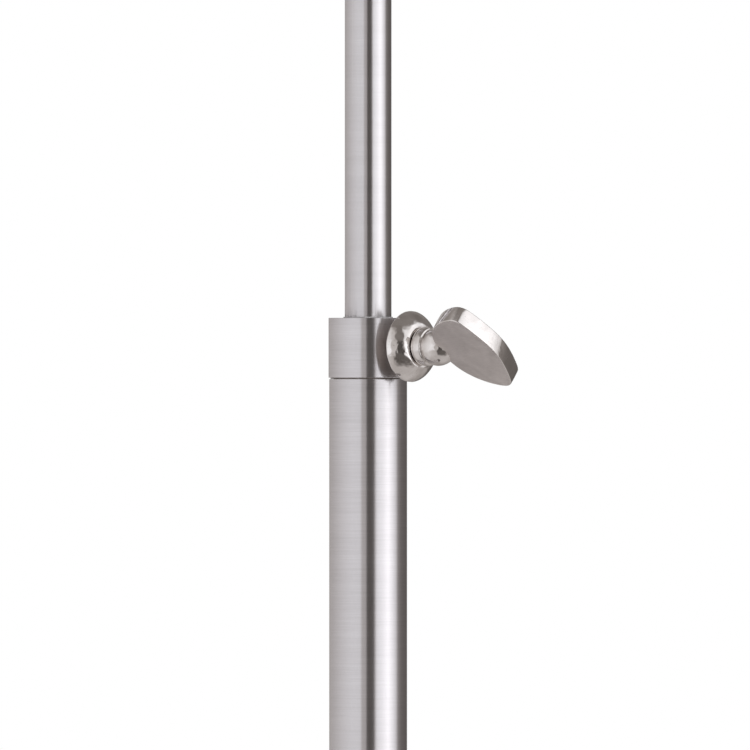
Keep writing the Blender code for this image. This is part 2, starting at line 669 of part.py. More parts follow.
def build_screw_stud(parent):
    tip = CLAMP_PAD_END + SEAT_GAP
    nose = tip - SCREW_NOSE_LENGTH
    end = FLANGE_BACK + SCREW_GRIP_IN_HANDLE
    chamfer = 0.5 * MM
    profile = [(0.0, end), (SCREW_RADIUS, end), (SCREW_RADIUS, tip + chamfer),
               (SCREW_RADIUS - chamfer, tip), (SCREW_NOSE_RADIUS, tip), (SCREW_NOSE_RADIUS, nose),
               (0.0, nose)]
    finish(turned("screw_stud", profile, SMALL_SEGMENTS, bored=False), "fastener", parent)


def handle_profile():
    """Outer line of the turned handle from the ball's crown back to the flange's rear face."""
    bore = SCREW_RADIUS + SEAT_GAP
    bore_end = FLANGE_BACK + SCREW_GRIP_IN_HANDLE + SEAT_GAP
    groove_angle = -math.degrees(math.acos(GROOVE_RADIUS / BALL_RADIUS))
    ball = arc((0.0, BALL_CENTRE), BALL_RADIUS, 90.0, groove_angle, 9)
    ball[0] = (0.0, BALL_CENTRE + BALL_RADIUS)
    ball[-1] = (GROOVE_RADIUS, BALL_CENTRE - math.sqrt(BALL_RADIUS ** 2 - GROOVE_RADIUS ** 2))
    profile = ball + [(GROOVE_RADIUS, BEAD_END)]
    bead_middle = (BEAD_START + BEAD_END) / 2
    shoulder = NECK_RADIUS + NECK_FILLET
    for i in range(1, 6):
        angle = math.pi * i / 6
        swell = math.sin(angle) ** BEAD_FULLNESS
        profile.append((shoulder + (BEAD_RADIUS - shoulder) * swell,
                        bead_middle + BEAD_LENGTH / 2 * math.cos(angle)))
    profile.append((shoulder, BEAD_START))
    profile.append((NECK_RADIUS, NECK_START))
    profile += reversed(DOME_LINE)
    rim = FLANGE_BACK_CHAMFER
    profile += [(FLANGE_RADIUS, FLANGE_BACK + rim),
                (FLANGE_RADIUS - rim, FLANGE_BACK), (bore, FLANGE_BACK), (bore, bore_end),
                (0.0, bore_end)]
    return profile


def paddle_outline(margin):
    """Oval across the screw's axis, its widest part drawn outwards into two soft horns."""
    half_length = PADDLE_HALF_LENGTH + margin
    half_width = PADDLE_HALF_WIDTH + margin
    points = []
    count = 40
    power = 2.0 / PADDLE_SQUARENESS
    for i in range(count):
        angle = 2 * math.pi * (i + 0.5) / count
        across = math.copysign(abs(math.cos(angle)) ** power, math.cos(angle))
        along = math.copysign(abs(math.sin(angle)) ** power, math.sin(angle))
        points.append((half_width * across,
                       half_length * along + PADDLE_HORN * abs(across) ** PADDLE_HORN_POWER))
    return points


def flat_slab(name, outline, thickness, collection):
    """A closed slab from a flat outline in the local XZ plane, its thickness along local Y."""
    curve = bpy.data.curves.new(name, "CURVE")
    curve.dimensions = "2D"
    curve.fill_mode = "BOTH"
    curve.extrude = thickness / 2
    spline = curve.splines.new("POLY")
    spline.points.add(len(outline) - 1)
    for point, (across, along) in zip(spline.points, outline):
        point.co = (across, along, 0.0, 1.0)
    spline.use_cyclic_u = True
    guide = place(name + "_outline", curve, CUTTERS)
    bpy.context.view_layer.update()
    graph = bpy.context.evaluated_depsgraph_get()
    mesh = bpy.data.meshes.new_from_object(guide.evaluated_get(graph))
    bpy.data.objects.remove(guide, do_unlink=True)
    shape = bmesh.new()
    shape.from_mesh(mesh)
    bmesh.ops.remove_doubles(shape, verts=shape.verts, dist=0.00001)
    bmesh.ops.dissolve_limit(shape, angle_limit=0.01, verts=shape.verts, edges=shape.edges)
    bmesh.ops.rotate(shape, verts=shape.verts, matrix=Matrix.Rotation(math.pi / 2, 3, "X"))
    bmesh.ops.recalc_face_normals(shape, faces=shape.faces)
    shape.to_mesh(mesh)
    shape.free()
    return place(name, mesh, collection)


def build_paddle(parent):
    """Thick flat thumb grip, let into a slot in the ball."""
    paddle = flat_slab("thumb_paddle", paddle_outline(0.0), PADDLE_THICKNESS, PARTS)
    paddle.parent = parent
    paddle.location = (0.0, 0.0, PADDLE_CENTRE)
    paddle.rotation_euler = (0.0, 0.0, PADDLE_TURN)
    edge = paddle.modifiers.new("edge", "BEVEL")
    edge.width = PADDLE_EDGE
    edge.segments = 2
    edge.limit_method = "ANGLE"
    edge.angle_limit = math.radians(50.0)
    finish(paddle, "polished", parent)


def build_handle(parent):
    """Turned flange, neck, bead and ball in one piece, slotted for the paddle."""
    handle = turned("screw_handle", handle_profile(), bored=False)
    handle.parent = parent
    slot = flat_slab("paddle_slot", paddle_outline(SEAT_GAP), PADDLE_THICKNESS + 2 * SEAT_GAP,
                     CUTTERS)
    slot.parent = parent
    slot.location = (0.0, 0.0, PADDLE_CENTRE)
    slot.rotation_euler = (0.0, 0.0, PADDLE_TURN)
    cut(handle, slot)
    finish(handle, "polished", parent)


def build_stand():
    build_floor_pad()
    build_ballast()
    build_base_cover()
    build_base_bolt()
    build_washers()
    build_foot_plug()
    build_escutcheon()
    build_set_screw()
    build_lower_tube()
    build_collar()
    build_collar_liner()


def build_mast():
    axis = joint_empty("mast_axis", (0.0, 0.0, 0.0))
    build_guide_bush(axis)
    build_upper_tube(axis)
    build_bottom_plug(axis)
    build_guide_pin(axis)
    build_top_plug(axis)
    build_finial_washer(axis)
    build_finial_neck(axis)
    build_finial_ball(axis)
    build_finial_stud(axis)


def build_thumb_screw():
    axis = joint_empty("thumb_screw_axis", (0.0, 0.0, SCREW_HEIGHT), (0.0, math.pi / 2, 0.0))
    build_clamp_pad(axis)
    build_screw_stud(axis)
    build_handle(axis)
    build_paddle(axis)


build_stand()
build_mast()
build_thumb_screw()
bpy.context.view_layer.update()
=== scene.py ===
"""Looks of the telescoping flag pole stand: fine turned pieces, brushed and polished metal and a
soft studio."""

import math

import bmesh
import bpy
from mathutils import Matrix, Vector, noise


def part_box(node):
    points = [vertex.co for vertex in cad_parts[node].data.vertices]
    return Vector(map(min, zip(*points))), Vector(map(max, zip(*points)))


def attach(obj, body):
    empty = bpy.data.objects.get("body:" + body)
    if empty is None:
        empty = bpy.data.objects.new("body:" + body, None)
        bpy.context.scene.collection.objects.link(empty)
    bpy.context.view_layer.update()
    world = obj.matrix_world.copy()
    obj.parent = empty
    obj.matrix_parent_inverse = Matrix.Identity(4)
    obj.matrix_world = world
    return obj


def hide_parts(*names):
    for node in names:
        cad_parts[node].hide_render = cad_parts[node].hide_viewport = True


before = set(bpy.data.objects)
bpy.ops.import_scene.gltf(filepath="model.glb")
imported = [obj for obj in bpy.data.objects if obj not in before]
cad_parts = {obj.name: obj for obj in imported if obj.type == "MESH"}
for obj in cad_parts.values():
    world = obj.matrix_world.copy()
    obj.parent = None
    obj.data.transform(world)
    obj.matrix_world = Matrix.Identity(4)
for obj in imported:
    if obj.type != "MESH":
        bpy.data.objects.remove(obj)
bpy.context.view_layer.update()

MM = 0.001

# Viewing angle: the thumb screw's axis runs to the right and towards the camera
VIEW_AZIMUTH = math.radians(43.0)
TO_CAMERA = Vector((math.sin(VIEW_AZIMUTH), -math.cos(VIEW_AZIMUTH), 0.0))
TO_RIGHT = Vector((math.cos(VIEW_AZIMUTH), math.sin(VIEW_AZIMUTH), 0.0))
CAMERA_DISTANCE = 8.0
FIELD_WIDTH = 0.306
SENSOR_WIDTH = 36.0
CLIP_END = 400.0
AIM_RIGHT = 2.8 * MM
AIM_BELOW_COLLAR_TOP = 23.3 * MM

# Fineness of the surfaces
TUBE_SEGMENTS = 144
BASE_SEGMENTS = 240
COLLAR_SEGMENTS = 192
HANDLE_SEGMENTS = 160
SMALL_SEGMENTS = 96
HOLE_SEGMENTS = 64
THREAD_SEGMENTS = 48
STEPS_PER_PITCH = 12
PADDLE_POINTS = 160

# Edges that turn by more than this many degrees stay sharp
SMOOTH_ANGLE = 40.0
THREAD_SMOOTH_ANGLE = 80.0

# Brushed steel reflects twice: crisply, and smeared wide across its lines
SMEAR_SHARE = 0.4
SMEAR_ROUGHNESS = 0.44

# Sizes that the frame doesn't give
TUBE_WALL = 1.5 * MM
MAST_WALL = 1.2 * MM
COVER_WALL = 1.2 * MM
THREAD_PITCH = 1.25 * MM
THREAD_DEPTH = 0.68 * MM
THREAD_PLAY = 0.03 * MM
STUD_HOLE = 4.15 * MM
PIN_HOLE = 2.15 * MM
PAD_HOLE = 3.8 * MM
HANDLE_BORE = 4.3 * MM
HANDLE_BORE_DEPTH = 7.8 * MM

# Hand-finished casting: height of its surface's waves and their length
CAST_WOBBLE = 0.07 * MM
CAST_WAVELENGTH = 2.4 * MM

# Thumb grip: an oval whose outer side is wider, across the end of the screw
PADDLE_TURN = math.radians(51.9)
PADDLE_REACH = 18.75 * MM
PADDLE_HALF_LENGTH = 15.0 * MM
PADDLE_HALF_WIDTH = 21.65 * MM
PADDLE_HALF_THICKNESS = 3.625 * MM
PADDLE_SQUARENESS = 1.89
PADDLE_HORN = 5.05 * MM
PADDLE_HORN_POWER = 4


def span(node):
    """Half-width, bottom and top of a node that is turned about the pole."""
    low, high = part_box(node)
    return (high[0] - low[0]) / 2, low[2], high[2]


# ------------------------------------------------------------ mesh helpers

def fillet(corners, closed, steps=5):
    """Round each corner (radius from axis, height, fillet) of a profile by its own fillet."""
    points = []
    count = len(corners)
    for i, (x, y, size) in enumerate(corners):
        if size <= 0.0 or (not closed and i in (0, count - 1)):
            points.append((x, y))
            continue
        corner = Vector((x, y))
        back = (Vector(corners[i - 1][:2]) - corner).normalized()
        ahead = (Vector(corners[(i + 1) % count][:2]) - corner).normalized()
        half = back.angle(ahead) / 2
        centre = corner + (back + ahead).normalized() * size / math.sin(half)
        start = corner + back * size / math.tan(half) - centre
        end = corner + ahead * size / math.tan(half) - centre
        sweep = math.atan2(start.x * end.y - start.y * end.x, start.dot(end))
        for k in range(steps + 1):
            angle = sweep * k / steps
            turned_x = start.x * math.cos(angle) - start.y * math.sin(angle)
            turned_y = start.x * math.sin(angle) + start.y * math.cos(angle)
            points.append((centre.x + turned_x, centre.y + turned_y))
    return points


def mesh_from(shape, name):
    """Turn a bmesh into a mesh."""
    mesh = bpy.data.meshes.new(name)
    shape.to_mesh(mesh)
    shape.free()
    return mesh


def add_object(name, data):
    """Put an object with this mesh, camera or light into the scene."""
    thing = bpy.data.objects.new(name, data)
    bpy.context.scene.collection.objects.link(thing)
    return thing


def keep_flats_crisp(piece):
    """Weight the normals by face area, so that flats beside rounded edges shade flat."""
    weighted = piece.modifiers.new("crisp_flats", "WEIGHTED_NORMAL")
    weighted.keep_sharp = True


def piece_from(shape, name, smooth_angle=SMOOTH_ANGLE):
    """Turn a bmesh into a smooth-shaded object with crisp flats beside its rounded edges."""
    bmesh.ops.recalc_face_normals(shape, faces=shape.faces)
    mesh = mesh_from(shape, name)
    mesh.shade_smooth()
    mesh.set_sharp_from_angle(angle=math.radians(smooth_angle))
    piece = add_object(name, mesh)
    keep_flats_crisp(piece)
    return piece


def lathe_shape(profile, segments, closed):
    """Spin (radius, height) points about Z; points on the axis become poles."""
    shape = bmesh.new()
    rings = []
    for radius, height in profile:
        if radius < 1e-7:
            rings.append([shape.verts.new((0.0, 0.0, height))])
            continue
        ring = []
        for k in range(segments):
            angle = 2 * math.pi * k / segments
            ring.append(shape.verts.new((radius * math.cos(angle), radius * math.sin(angle), height)))
        rings.append(ring)
    pairs = list(zip(rings, rings[1:]))
    if closed:
        pairs.append((rings[-1], rings[0]))
    for upper, lower in pairs:
        for k in range(segments):
            n = (k + 1) % segments
            corners = [upper[k % len(upper)], upper[n % len(upper)], lower[n % len(lower)],
                       lower[k % len(lower)]]
            unique = list(dict.fromkeys(corners))
            if len(unique) > 2:
                shape.faces.new(unique)
    return shape


def lathe(name, profile, segments=TUBE_SEGMENTS, closed=True):
    """Turned piece about Z from its profile."""
    return piece_from(lathe_shape(profile, segments, closed), name)


def along_x(piece, height):
    """Lay a piece turned about Z along the thumb screw's axis, in its mesh."""
    turn = Matrix.Rotation(math.pi / 2, 4, "Y")
    piece.data.transform(Matrix.Translation((0.0, 0.0, height)) @ turn)


def cut_prism(piece, sides, radius, length, placing):
    """Cut a prism, placed about its own middle, out of a piece with a Boolean that is applied."""
    shape = bmesh.new()
    bmesh.ops.create_cone(shape, cap_ends=True, segments=sides, radius1=radius, radius2=radius,
                          depth=length, matrix=placing)
    cutter = add_object("cutter", mesh_from(shape, "cutter"))
    piece.modifiers.clear()
    boolean = piece.modifiers.new("cut", "BOOLEAN")
    boolean.operation = "DIFFERENCE"
    boolean.solver = "EXACT"
    boolean.object = cutter
    apply_modifiers(piece)
    bpy.data.objects.remove(cutter, do_unlink=True)


def cut_hole(piece, radius, start, end):
    """Bore a round hole through a piece between two points."""
    start, end = Vector(start), Vector(end)
    way = end - start
    placing = Matrix.Translation((start + end) / 2) @ way.to_track_quat("Z", "Y").to_matrix().to_4x4()
    cut_prism(piece, HOLE_SEGMENTS, radius, way.length, placing)
    keep_flats_crisp(piece)


def apply_modifiers(piece):
    """Keep the piece's mesh as its modifiers leave it."""
    bpy.context.view_layer.update()
    graph = bpy.context.evaluated_depsgraph_get()
    mesh = bpy.data.meshes.new_from_object(piece.evaluated_get(graph))
    mesh.name = piece.name
    piece.modifiers.clear()
    piece.data = mesh
    mesh.set_sharp_from_angle(angle=math.radians(SMOOTH_ANGLE))


def uneven(piece, height, wavelength):
    """Press faint hand-polishing unevenness into a surface, the same on every run."""
    normals = [vertex.normal.copy() for vertex in piece.data.vertices]
    for vertex, normal in zip(piece.data.vertices, normals):
        spot = vertex.co / wavelength
        push = noise.noise(spot) + 0.4 * noise.noise(spot * 2.3 + Vector((7.0, 3.0, 1.0)))
        vertex.co += normal * push * height


# ---------------------------------------------------------------- materials

class Tree:
    """A short way to write a node tree."""

    def __init__(self, tree):
        self.tree = tree

    def add(self, kind, **settings):
        """A new node with these settings."""
        node = self.tree.nodes.new(kind)
        for key, value in settings.items():
            setattr(node, key, value)
        return node

    def link(self, source, target):
        """Join an output to an input."""
        self.tree.links.new(source, target)

    def math(self, operation, first, second=0.0):
        """A sum, product or other operation on numbers or outputs."""
        node = self.add("ShaderNodeMath", operation=operation)
        for socket, value in zip(node.inputs, (first, second)):
            if isinstance(value, (int, float)):
                socket.default_value = value
            else:
                self.link(value, socket)
        return node.outputs[0]

    def blend(self, share, dark, light):
        """A colour between two colours or outputs."""
        node = self.add("ShaderNodeMix", data_type="RGBA")
        self.link(share, node.inputs["Factor"])
        for socket, colour in ((node.inputs[6], dark), (node.inputs[7], light)):
            if isinstance(colour, tuple):
                socket.default_value = (*colour, 1.0)
            else:
                self.link(colour, socket)
        return node.outputs[2]

    def spread(self, value, low, high, out_low, out_high, way="LINEAR"):
        """A value's range stretched to another one, and kept within it."""
        node = self.add("ShaderNodeMapRange", interpolation_type=way)
        self.link(value, node.inputs["Value"])
        numbers = {"From Min": low, "From Max": high, "To Min": out_low, "To Max": out_high}
        for key, number in numbers.items():
            node.inputs[key].default_value = number
        return node.outputs["Result"]


class Nodes(Tree):
    """A material's node tree round one shader."""

    def __init__(self, name):
        self.material = bpy.data.materials.new(name)
        self.material.use_nodes = True
        super().__init__(self.material.node_tree)
        self.shader = self.tree.nodes["Principled BSDF"]
        self.place = self.add("ShaderNodeTexCoord").outputs["Object"]

    def scaled(self, vector, scale):
        """A vector stretched by a scale for each axis."""
        node = self.add("ShaderNodeMapping")
        node.inputs["Scale"].default_value = scale
        self.link(vector, node.inputs["Vector"])
        return node.outputs["Vector"]

    def noise(self, vector, scale=1.0, detail=3.0, roughness=0.55, distortion=0.0):
        """Cloudy noise between 0 and 1."""
        node = self.add("ShaderNodeTexNoise")
        self.link(vector, node.inputs["Vector"])
        node.inputs["Scale"].default_value = scale
        node.inputs["Detail"].default_value = detail
        node.inputs["Roughness"].default_value = roughness
        node.inputs["Distortion"].default_value = distortion
        return node.outputs["Fac"]

    def bump(self, height, distance, strength=1.0, before=None):
        """Normals raised by a height, on top of an earlier bump if there is one."""
        node = self.add("ShaderNodeBump")
        node.inputs["Strength"].default_value = strength
        node.inputs["Distance"].default_value = distance
        self.link(height, node.inputs["Height"])
        if before is not None:
            self.link(before, node.inputs["Normal"])
        return node.outputs["Normal"]

    def set(self, **values):
        """Set or link sockets of the shader; an underscore stands for a space in their names."""
        for key, value in values.items():
            socket = self.shader.inputs[key.replace("_", " ")]
            if isinstance(value, bpy.types.NodeSocket):
                self.link(value, socket)
            else:
                socket.default_value = value


def brushed_steel(name, round_axis=True, scratches=0.0):
    """Satin nickel brushed round the pole: fine lines, stroke ends, soft smudges and bands."""
    n = Nodes(name)
    split = n.add("ShaderNodeSeparateXYZ")
    n.link(n.place, split.inputs[0])
    x, y, z = split.outputs
    if round_axis:
        key = z
    else:
        radius = n.math("SQRT", n.math("ADD", n.math("MULTIPLY", x, x), n.math("MULTIPLY", y, y)))
        key = n.math("ADD", radius, z)
    joined = n.add("ShaderNodeCombineXYZ")
    n.link(x, joined.inputs[0])
    n.link(y, joined.inputs[1])
    n.link(key, joined.inputs[2])
    ways = joined.outputs[0]
    strokes = n.noise(n.scaled(ways, (45.0, 45.0, 2100.0)), detail=4.0, roughness=0.65)
    hairlines = n.noise(n.scaled(ways, (120.0, 120.0, 5200.0)), detail=2.0)
    bands = n.noise(n.scaled(ways, (9.0, 9.0, 170.0)), detail=3.0)
    smudges = n.noise(n.place, scale=26.0, detail=4.0, distortion=0.6)
    lines = n.math("ADD", n.math("MULTIPLY", strokes, 0.65), n.math("MULTIPLY", hairlines, 0.35))
    shade = n.math("ADD", n.math("MULTIPLY", lines, 0.7), n.math("MULTIPLY", bands, 0.3))
    dark = (0.62, 0.60, 0.61)
    light = (0.75, 0.73, 0.745)
    colour = n.blend(n.spread(shade, 0.32, 0.68, 0.0, 1.0), dark, light)
    gloss = n.math("ADD", n.spread(lines, 0.3, 0.7, 0.13, 0.18), n.spread(smudges, 0.4, 0.7, 0.0, 0.03))
    surface = n.bump(lines, 0.00002, 0.5)
    if scratches > 0.0:
        rubs = n.noise(n.scaled(n.place, (1900.0, 1900.0, 6.0)), detail=2.0)
        fine = n.spread(rubs, 0.66, 0.74, 0.0, scratches)
        gloss = n.math("SUBTRACT", gloss, n.math("MULTIPLY", fine, 0.12))
        colour = n.blend(fine, colour, (0.82, 0.81, 0.80))
    tangent = n.add("ShaderNodeTangent", direction_type="RADIAL", axis="Z")
    crisp = n.shader
    smear = n.add("ShaderNodeBsdfPrincipled")
    for shader, roughness, stretch in ((crisp, gloss, 0.7), (smear, SMEAR_ROUGHNESS, 1.0)):
        n.shader = shader
        n.link(tangent.outputs[0], shader.inputs["Tangent"])
        n.set(Base_Color=colour, Metallic=1.0, Roughness=roughness, Normal=surface, Anisotropic=stretch)
        shader.inputs["Anisotropic Rotation"].default_value = 0.25
    both = n.add("ShaderNodeMixShader")
    both.inputs[0].default_value = SMEAR_SHARE
    n.link(crisp.outputs[0], both.inputs[1])
    n.link(smear.outputs[0], both.inputs[2])
    n.link(both.outputs[0], n.tree.nodes["Material Output"].inputs["Surface"])
    return n.material


def polished_metal(name, lumps=0.00003):
    """Hand-polished cast nickel: bright, a little uneven, with haze and hairline wiping marks."""
    n = Nodes(name)
    swell = n.noise(n.place, scale=230.0, detail=2.0, distortion=0.3)
    peel = n.noise(n.place, scale=900.0, detail=3.0)
    haze = n.noise(n.place, scale=75.0, detail=5.0, distortion=0.8)
    wipes = n.noise(n.scaled(n.place, (350.0, 2600.0, 2600.0)), detail=3.0, roughness=0.6)
    pits = n.noise(n.place, scale=2100.0, detail=2.0)
    low = (0.60, 0.565, 0.54)
    high = (0.85, 0.82, 0.805)
    colour = n.blend(n.spread(haze, 0.3, 0.7, 0.15, 1.0), low, high)
    colour = n.blend(n.spread(pits, 0.66, 0.76, 0.0, 0.7), colour, (0.30, 0.27, 0.25))
    gloss = n.math("ADD", n.spread(haze, 0.35, 0.75, 0.05, 0.13), n.spread(wipes, 0.5, 0.75, 0.0, 0.05))
    surface = n.bump(swell, lumps, 1.0)
    surface = n.bump(peel, lumps / 5, 0.8, surface)
    n.set(Base_Color=colour, Metallic=1.0, Roughness=gloss, Normal=surface)
    return n.material


def satin_face(name):
    """Belt-ground flat of the thumb grip: matt, grey-brown, with fine straight grain."""
    n = Nodes(name)
    grain = n.noise(n.scaled(n.place, (500.0, 3400.0, 3400.0)), detail=4.0, roughness=0.6)
    cloud = n.noise(n.place, scale=130.0, detail=4.0, distortion=0.5)
    mix = n.math("ADD", n.math("MULTIPLY", grain, 0.45), n.math("MULTIPLY", cloud, 0.55))
    colour = n.blend(n.spread(mix, 0.35, 0.65, 0.0, 1.0), (0.66, 0.62, 0.60), (0.83, 0.785, 0.765))
    gloss = n.spread(grain, 0.3, 0.7, 0.36, 0.48)
    surface = n.bump(grain, 0.00002, 0.5)
    n.set(Base_Color=colour, Metallic=1.0, Roughness=gloss, Normal=surface)
    return n.material


def toned(tone, colour):
    """A colour made lighter or darker."""
    return tuple(tone * part for part in colour)


def raw_casting_painted_shade(name, tone=1.0):
    """Unpolished back of the casting: dull brown-grey, grainy, with darker patches; its dark colour is also
    painted shade, on the flange's unlit back and, at a low tone, in the collar's gap.
    """
    n = Nodes(name)
    grit = n.noise(n.place, scale=1600.0, detail=4.0, roughness=0.7)
    patches = n.noise(n.place, scale=140.0, detail=4.0)
    # A tone below 1 darkens the casting further, as painted shade.
    dark = toned(tone, (0.34, 0.29, 0.26))
    light = toned(tone, (0.57, 0.50, 0.455))
    colour = n.blend(n.spread(patches, 0.35, 0.7, 0.0, 1.0), dark, light)
    n.set(Base_Color=colour, Metallic=0.8, Roughness=n.spread(grit, 0.3, 0.7, 0.45, 0.65),
          Normal=n.bump(grit, 0.00006, 0.8))
    return n.material


def zinc_steel(name):
    """Zinc-plated steel of screws and plugs: dull, faintly cloudy, with turning marks."""
    n = Nodes(name)
    cloud = n.noise(n.place, scale=180.0, detail=4.0)
    marks = n.noise(n.scaled(n.place, (90.0, 90.0, 2600.0)), detail=3.0)
    colour = n.blend(n.spread(cloud, 0.35, 0.65, 0.0, 1.0), (0.40, 0.40, 0.42), (0.60, 0.60, 0.60))
    gloss = n.spread(cloud, 0.3, 0.7, 0.28, 0.42)
    n.set(Base_Color=colour, Metallic=1.0, Roughness=gloss, Normal=n.bump(marks, 0.00002, 0.5))
    return n.material


def turned_plastic(name, dark, light):
    """Turned nylon or acetal: faint tool rings, dust in the grain and a soft sheen."""
    n = Nodes(name)
    rings = n.noise(n.scaled(n.place, (60.0, 60.0, 3200.0)), detail=3.0)
    dust = n.noise(n.place, scale=420.0, detail=5.0)
    colour = n.blend(n.spread(dust, 0.4, 0.72, 0.0, 1.0), dark, light)
    gloss = n.spread(rings, 0.3, 0.7, 0.42, 0.58)
    n.set(Base_Color=colour, Roughness=gloss, Normal=n.bump(rings, 0.00003, 0.6))
    return n.material


def cast_iron(name):
    """Rough sand-cast disc under a thin coat of black paint."""
    n = Nodes(name)
    sand = n.noise(n.place, scale=700.0, detail=6.0, roughness=0.7)
    scale = n.noise(n.place, scale=60.0, detail=4.0)
    colour = n.blend(n.spread(scale, 0.4, 0.7, 0.0, 1.0), (0.035, 0.034, 0.033), (0.10, 0.085, 0.075))
    n.set(Base_Color=colour, Metallic=0.3, Roughness=n.spread(sand, 0.3, 0.7, 0.6, 0.85),
          Normal=n.bump(sand, 0.0003, 0.8))
    return n.material


def rubber(name):
    """Moulded rubber pad: black, matt, with dust and a fine pebble."""
    n = Nodes(name)
    pebble = n.noise(n.place, scale=1500.0, detail=3.0)
    dust = n.noise(n.place, scale=90.0, detail=5.0)
    colour = n.blend(n.spread(dust, 0.45, 0.8, 0.0, 1.0), (0.018, 0.018, 0.018), (0.075, 0.072, 0.068))
    n.set(Base_Color=colour, Roughness=n.spread(dust, 0.3, 0.7, 0.7, 0.9),
          Normal=n.bump(pebble, 0.00008, 0.7))
    return n.material


def brass(name):
    """Turned brass with faint tool marks and a slight brown tarnish."""
    n = Nodes(name)
    tarnish = n.noise(n.place, scale=300.0, detail=4.0)
    marks = n.noise(n.scaled(n.place, (2600.0, 90.0, 90.0)), detail=3.0)
    colour = n.blend(n.spread(tarnish, 0.35, 0.7, 0.0, 1.0), (0.50, 0.33, 0.14), (0.76, 0.57, 0.28))
    n.set(Base_Color=colour, Metallic=1.0, Roughness=n.spread(tarnish, 0.3, 0.7, 0.22, 0.38),
          Normal=n.bump(marks, 0.00002, 0.6))
    return n.material


def dress(piece, body, slot_name, *materials, nodes=()):
    """Give a piece its materials and body, and hide the CAD nodes that it stands for; the slot name is not
    used.
    """
    for material in materials:
        piece.data.materials.append(material)
    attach(piece, body)
    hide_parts(*nodes)


def redress(node, material):
    """Give a carried-over CAD node a better material in its own slots."""
    for material_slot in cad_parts[node].material_slots:
        material_slot.link = "OBJECT"
        material_slot.material = material


# ------------------------------------------------------------------ the base

def make_base_cover():
    """Spun cover: flat hub, low dome, rounded shoulder, straight skirt with a rolled lower edge."""
    radius, bottom, top = span("base_cover")
    bore = 5.3 * MM
    hub = 40.0 * MM
    shoulder = 11.0 * MM
    shoulder_rise = 9.0 * MM
    skirt_top = 11.0 * MM
    rise = top - skirt_top - shoulder_rise
    reach = radius - shoulder - hub
    dome_steps = 24
    shoulder_steps = 12
    lip_steps = 6

    outer = [(bore, top)]
    for k in range(dome_steps + 1):
        share = k / dome_steps
        outer.append((hub + reach * share, top - rise * share ** 2))
    for k in range(1, shoulder_steps + 1):
        angle = math.pi / 2 * k / shoulder_steps
        outer.append((radius - shoulder + shoulder * math.sin(angle),
                      skirt_top + shoulder_rise * math.cos(angle)))
    lip = COVER_WALL / 2
    for k in range(lip_steps + 1):
        angle = -math.pi * k / lip_steps
        outer.append((radius - lip + lip * math.cos(angle), bottom + lip + lip * math.sin(angle)))
    inner = [(radius - COVER_WALL, skirt_top)]
    for k in range(shoulder_steps - 1, -1, -1):
        angle = math.pi / 2 * k / shoulder_steps
        inner.append((radius - shoulder + (shoulder - COVER_WALL) * math.sin(angle),
                      skirt_top + (shoulder_rise - COVER_WALL) * math.cos(angle)))
    for k in range(dome_steps - 1, -1, -1):
        share = k / dome_steps
        inner.append((hub + reach * share, top - rise * share ** 2 - COVER_WALL))
    inner.append((bore, top - COVER_WALL))
    cover = lathe("spun_cover", outer + inner, BASE_SEGMENTS)
    dress(cover, "stand", "brushed_steel", brushed_steel("brushed_cover", round_axis=False),
          nodes=["base_cover"])


def make_floor_pad():
    """Rubber ring under the base, its lower edges well rounded."""
    radius, bottom, top = span("floor_pad")
    hole = 24.0 * MM
    corners = [(hole, top, 0.3 * MM), (radius, top, 0.4 * MM), (radius, bottom, 0.8 * MM),
               (hole, bottom, 0.8 * MM)]
    pad = lathe("rubber_pad", fillet(corners, True), BASE_SEGMENTS)
    dress(pad, "stand", "rubber", rubber("pad_rubber"), nodes=["floor_pad"])


def cove_line(inner, outer, low, high, steps):
    """Hollow quarter-round that falls from the inner radius out to the outer one."""
    line = []
    for k in range(steps + 1):
        angle = math.pi / 2 * k / steps
        line.append((inner + (outer - inner) * (1.0 - math.cos(angle)),
                     low + (high - low) * (1.0 - math.sin(angle))))
    return line


def make_escutcheon(finish):
    """Trim ring at the tube's foot: rounded foot edge, hollow cove and a short straight neck."""
    radius, bottom, top = span("foot_escutcheon")
    bore = 16.175 * MM
    neck = bore + 3.4 * MM
    edge_top = bottom + 2.5 * MM
    cove_top = top - 6.0 * MM
    profile = [(bore, top)]
    profile += fillet([(bore, top, 0.0), (neck, top, 0.9 * MM), (neck, cove_top, 0.0)], False)[1:]
    cove = cove_line(neck, radius, edge_top, cove_top, 20)
    profile += cove[1:-1]
    profile += fillet([cove[-2] + (0.0,), (radius, edge_top, 0.5 * MM), (radius, bottom, 0.4 * MM),
                       (bore, bottom, 0.0)], False)[1:]
    ring = lathe("foot_trim_ring", profile)
    screw_low, screw_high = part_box("escutcheon_set_screw")
    height = (screw_low[2] + screw_high[2]) / 2
    hole = (screw_high[2] - screw_low[2]) / 2 + 0.2 * MM
    cut_hole(ring, hole, (0.0, bore - 1.0 * MM, height), (0.0, radius + 5.0 * MM, height))
    dress(ring, "stand", "polished_metal", finish, nodes=["foot_escutcheon"])


def make_set_screw(finish):
    """Grub screw with a hexagon socket, in the back of the trim ring."""
    low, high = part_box("escutcheon_set_screw")
    radius = (high[2] - low[2]) / 2
    length = high[1] - low[1]
    corners = [(0.0, length, 0.0), (radius, length, 0.35 * MM), (radius, 0.0, 0.3 * MM),
               (0.0, 0.0, 0.0)]
    screw = lathe("grub_screw", fillet(corners, False), SMALL_SEGMENTS, closed=False)
    socket_radius = 1.15 * MM
    socket_depth = 1.5 * MM
    cut_prism(screw, sides=6, radius=socket_radius, length=2 * socket_depth,
              placing=Matrix.Translation((0.0, 0.0, length)))
    placing = Matrix.Translation((0.0, low[1], (low[2] + high[2]) / 2))
    screw.data.transform(placing @ Matrix.Rotation(-math.pi / 2, 4, "X"))
    dress(screw, "stand", "fastener_steel", finish, nodes=["escutcheon_set_screw"])


# ------------------------------------------------------- tubes and collar

